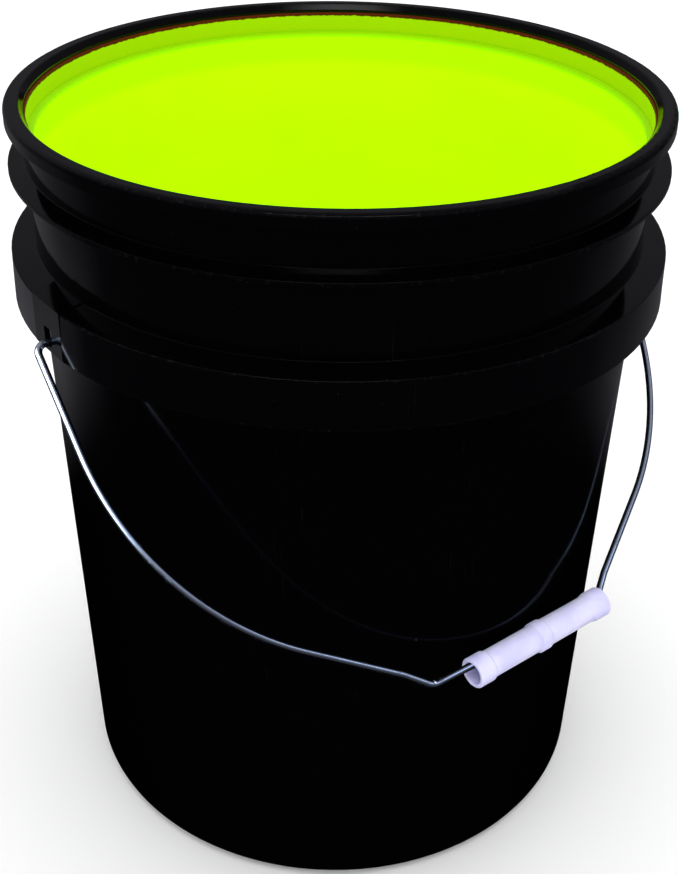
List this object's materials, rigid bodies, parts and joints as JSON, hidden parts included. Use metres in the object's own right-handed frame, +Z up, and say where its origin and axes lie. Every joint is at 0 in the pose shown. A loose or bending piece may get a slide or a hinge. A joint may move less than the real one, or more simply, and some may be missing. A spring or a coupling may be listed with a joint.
{
  "type": "wash bucket",
  "caption": "Open-head round wash bucket with a bright lining, a stacking ring, a skirted bail band and a wire bail with a tubular grip.",
  "frame": {"origin": "centre of the foot ring on the standing plane", "axes": "+Z up along the pail's axis; X along the bail's hinge line; -Y towards the side the bail rests on"},
  "size_m": [0.3234, 0.3082, 0.3665],
  "materials": {
    "shell_black": "gloss moulded HDPE",
    "lining_lime": "satin",
    "wire_zinc": "bright zinc plate",
    "grip_white": "natural moulded polyethylene"
  },
  "bodies": {
    "pail": {"pail_shell": "shell_black", "inner_lining": "lining_lime"},
    "bail": {"bail_wire": "wire_zinc"},
    "grip": {"bail_grip": "grip_white"}
  },
  "joints": [
    {"name": "bail_swing", "type": "hinge", "parent": "pail", "child": "bail", "pos_m": [0, 0, 0.2808], "axis": [-1, 0, 0], "range_deg": [0, 269.19]},
    {"name": "grip_spin", "type": "hinge", "parent": "bail", "child": "grip", "pos_m": [0.0115, -0.14513, 0.1377], "axis": [0.9997, 0.0186, 0.0184], "continuous": true}
  ]
}
